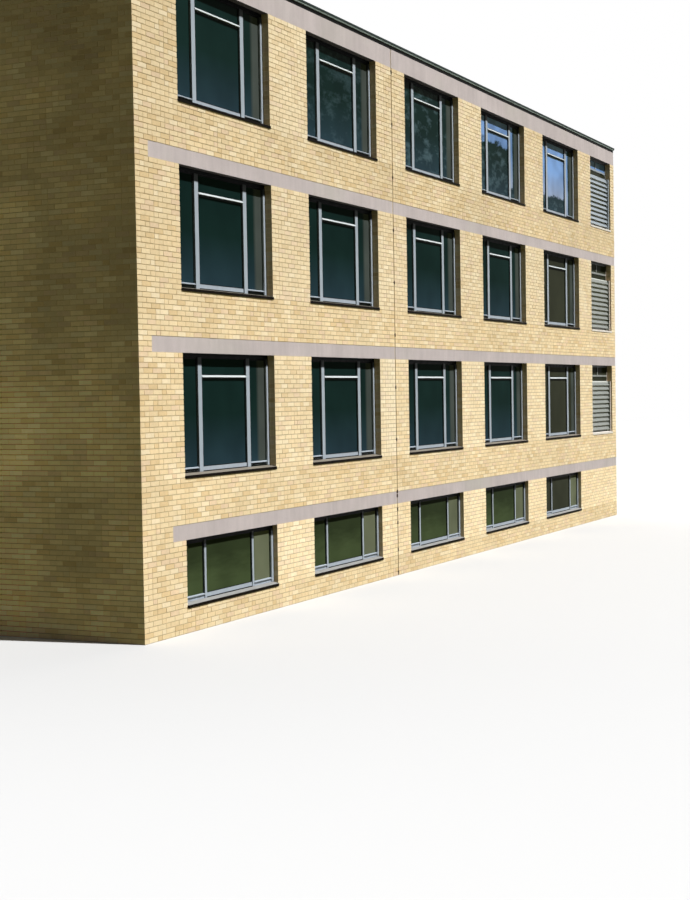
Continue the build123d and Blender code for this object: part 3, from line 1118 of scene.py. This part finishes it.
class SCHOOL_OT_roof(Operator):
    """Finish the roof covering, its laps and the roof edge"""

    bl_idname = "school.roof"
    bl_label = "Roof"

    def execute(self, context):
        finish = context.scene.school_finish
        felt = felt_material(finish)
        paint_node("roof_covering", felt)
        paint_node("roof_flashing", metal_material("edge_flashing", finish.flashing, 0.45, 0.06, 0.12))
        paint_node("roof_edge_strip", edge_material(finish))
        low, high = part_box("roof_covering")
        laps = Joinery()
        half_width, end_gap, seat, proud = 0.05, 0.02, 0.001, 0.005
        for n in range(1, int((high[0] - low[0]) / SHEET_WIDTH) + 1):
            x = low[0] + n * SHEET_WIDTH
            if x < high[0] - 2 * half_width:
                laps.bar("front", x - half_width, x + half_width, low[1] - FRONT + end_gap,
                         high[1] - FRONT - end_gap, high[2] - seat, high[2] + proud)
        laps.piece("roof_laps", felt, "roof_sheet")
        return {"FINISHED"}


class SCHOOL_OT_stage(Operator):
    """Set up the floor, the light and the camera"""

    bl_idname = "school.stage"
    bl_label = "Stage"

    def execute(self, context):
        stage = context.scene.school_stage
        context.scene.view_settings.view_transform = "Standard"
        self.make_floor()
        self.make_world(stage)
        self.make_sun(stage)
        self.make_camera(stage)
        return {"FINISHED"}

    def make_floor(self):
        """A pale floor that fades to white far off, and sends up a dim greenish light."""
        mesh = bpy.data.meshes.new("floor")
        corners = [(FLOOR_REACH * x, FLOOR_REACH * y, 0) for x, y in ((-1, -1), (1, -1), (1, 1), (-1, 1))]
        mesh.from_pydata(corners, [], [(0, 1, 2, 3)])
        floor = add_object("floor", mesh)
        m = Finish("floor_pale")
        seen = m.seen_directly()
        m.coat(m.blend(seen, FLOOR_LIGHT, FLOOR_SEEN), 0.95, 0.0)
        distance = m.node("VectorMath", {0: m.point}, operation="LENGTH").outputs["Value"]
        far = m.spread(distance, *FLOOR_FADE)
        white = m.node("Emission", {"Color": WHITE, "Strength": 1.0})
        faded = m.node("MixShader", {0: far, 1: m.shader.outputs[0], 2: white.outputs[0]})
        shown = m.node("MixShader", {0: seen, 1: m.shader.outputs[0], 2: faded.outputs[0]})
        m.connect(m.output, {"Surface": shown.outputs[0]})
        mesh.materials.append(m.material)

    def make_world(self, stage):
        """White where it is seen or mirrored, and a soft fill that is stronger behind the block."""
        world = bpy.data.worlds.new("studio")
        bpy.context.scene.world = world
        world.use_nodes = True
        m = Nodes(world.node_tree)
        direction = m.node("TexCoord").outputs["Generated"]
        towards = m.node("VectorMath", {0: direction, 1: BEHIND_BLOCK}, operation="DOT_PRODUCT")
        level = m.spread(towards.outputs["Value"], 0.5, 0.97, stage.fill_strength, stage.back_strength)
        strength = m.node("Mix", {0: m.seen_directly(), 2: level, 3: 1.0}, data_type="FLOAT")
        background = m.node("Background", {"Color": WHITE, "Strength": strength.outputs[0]})
        m.node("OutputWorld", {"Surface": background.outputs[0]})

    def make_sun(self, stage):
        lamp = bpy.data.lights.new("key", "SUN")
        lamp.energy = stage.sun_strength
        lamp.angle = math.radians(1.2)
        sun = add_object("key", lamp)
        flat = math.cos(stage.sun_height)
        towards_sun = Vector((flat * math.sin(stage.sun_side), -flat * math.cos(stage.sun_side),
                              math.sin(stage.sun_height)))
        sun.rotation_euler = towards_sun.to_track_quat("Z", "Y").to_euler()

    def make_camera(self, stage):
        data = bpy.data.cameras.new("photo_view")
        data.sensor_width = 36.0
        data.lens = stage.camera_lens
        data.clip_end = 2000.0
        camera = add_object("photo_view", data)
        bpy.context.scene.camera = camera
        yaw, pitch, roll = stage.camera_yaw, stage.camera_pitch, stage.camera_roll
        forward = Vector((math.sin(yaw) * math.cos(pitch), math.cos(yaw) * math.cos(pitch),
                          -math.sin(pitch)))
        level = Vector((math.cos(yaw), -math.sin(yaw), 0.0))
        down = forward.cross(level)
        right = level * math.cos(roll) + down * math.sin(roll)
        up = right.cross(forward)
        camera.matrix_world = Matrix((right, up, -forward)).transposed().to_4x4()
        camera.location = stage.camera_place


class SCHOOL_PT_panel(Panel):
    """The settings and the steps that dress the block, in order"""

    bl_idname = "SCHOOL_PT_panel"
    bl_label = "School Block"
    bl_space_type = "VIEW_3D"
    bl_region_type = "UI"
    bl_category = "School"

    def draw(self, context):
        layout = self.layout
        for group in ("school_brickwork", "school_finish", "school_stage"):
            settings = getattr(context.scene, group)
            box = layout.box()
            for name in settings.__annotations__:
                box.prop(settings, name)
        for step in STEPS:
            layout.operator(step.bl_idname)


STEPS = [
    SCHOOL_OT_brickwork,
    SCHOOL_OT_concrete,
    SCHOOL_OT_windows,
    SCHOOL_OT_sills_and_louvres,
    SCHOOL_OT_movement_joint,
    SCHOOL_OT_roof,
    SCHOOL_OT_stage,
]
CLASSES = [SchoolBrickwork, SchoolFinish, SchoolStage, *STEPS, SCHOOL_PT_panel]


def register():
    for cls in CLASSES:
        bpy.utils.register_class(cls)
    bpy.types.Scene.school_brickwork = PointerProperty(type=SchoolBrickwork)
    bpy.types.Scene.school_finish = PointerProperty(type=SchoolFinish)
    bpy.types.Scene.school_stage = PointerProperty(type=SchoolStage)


def unregister():
    del bpy.types.Scene.school_stage
    del bpy.types.Scene.school_finish
    del bpy.types.Scene.school_brickwork
    for cls in reversed(CLASSES):
        bpy.utils.unregister_class(cls)


def main():
    register()
    bpy.ops.school.brickwork()
    bpy.ops.school.concrete()
    bpy.ops.school.windows()
    bpy.ops.school.sills_and_louvres()
    bpy.ops.school.movement_joint()
    bpy.ops.school.roof()
    bpy.ops.school.stage()


if __name__ == "__main__":
    main()
